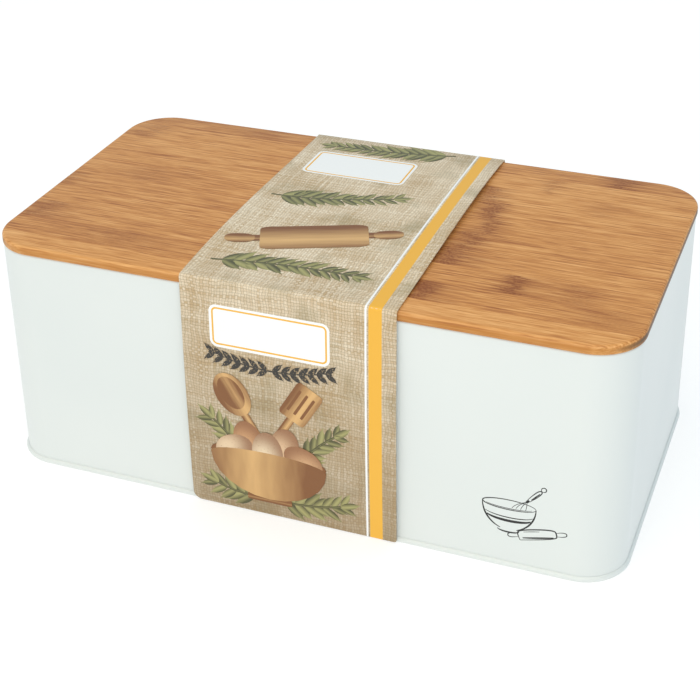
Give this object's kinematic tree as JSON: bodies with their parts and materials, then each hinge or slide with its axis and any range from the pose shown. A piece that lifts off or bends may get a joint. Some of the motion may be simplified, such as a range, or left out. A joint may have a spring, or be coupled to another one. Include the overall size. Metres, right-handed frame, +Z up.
{
  "type": "bread box",
  "caption": "Rounded steel bread tin in white enamel with a lift-off lid of glued bamboo staves and a printed card sleeve that straddles lid, front and back.",
  "frame": {"origin": "under the middle of the box, on the surface that the tin stands on", "axes": "+X along the box to the right of someone facing its front, +Y to its back, +Z up"},
  "size_m": [0.33, 0.181, 0.1307],
  "materials": {
    "enamelled_steel": "satin white powder enamel on sheet steel",
    "bamboo": "oiled, flat-pressed carbonised bamboo",
    "sleeve_card": "printed and varnished white-backed card"
  },
  "bodies": {
    "tin": {"tin_wall": "enamelled_steel", "tin_base": "enamelled_steel"},
    "lid": {"lid_stave_01": "bamboo", "lid_stave_02": "bamboo", "lid_stave_03": "bamboo", "lid_stave_04": "bamboo", "lid_stave_05": "bamboo", "lid_stave_06": "bamboo", "lid_stave_07": "bamboo", "lid_stave_08": "bamboo", "lid_stave_09": "bamboo", "lid_stave_10": "bamboo", "lid_plug_stave_01": "bamboo", "lid_plug_stave_02": "bamboo", "lid_plug_stave_03": "bamboo", "lid_plug_stave_04": "bamboo", "lid_plug_stave_05": "bamboo", "lid_plug_stave_06": "bamboo", "lid_plug_stave_07": "bamboo", "lid_plug_stave_08": "bamboo", "lid_plug_stave_09": "bamboo"},
    "sleeve": {"card_sleeve": "sleeve_card"}
  },
  "joints": [
    {"name": "lid_lift", "type": "slide", "parent": "tin", "child": "lid", "axis": [0, 0, 1], "range_m": [0, 0.13]},
    {"name": "sleeve_lift", "type": "slide", "parent": "lid", "child": "sleeve", "axis": [0, 0, 1], "range_m": [0, 0.13]}
  ]
}
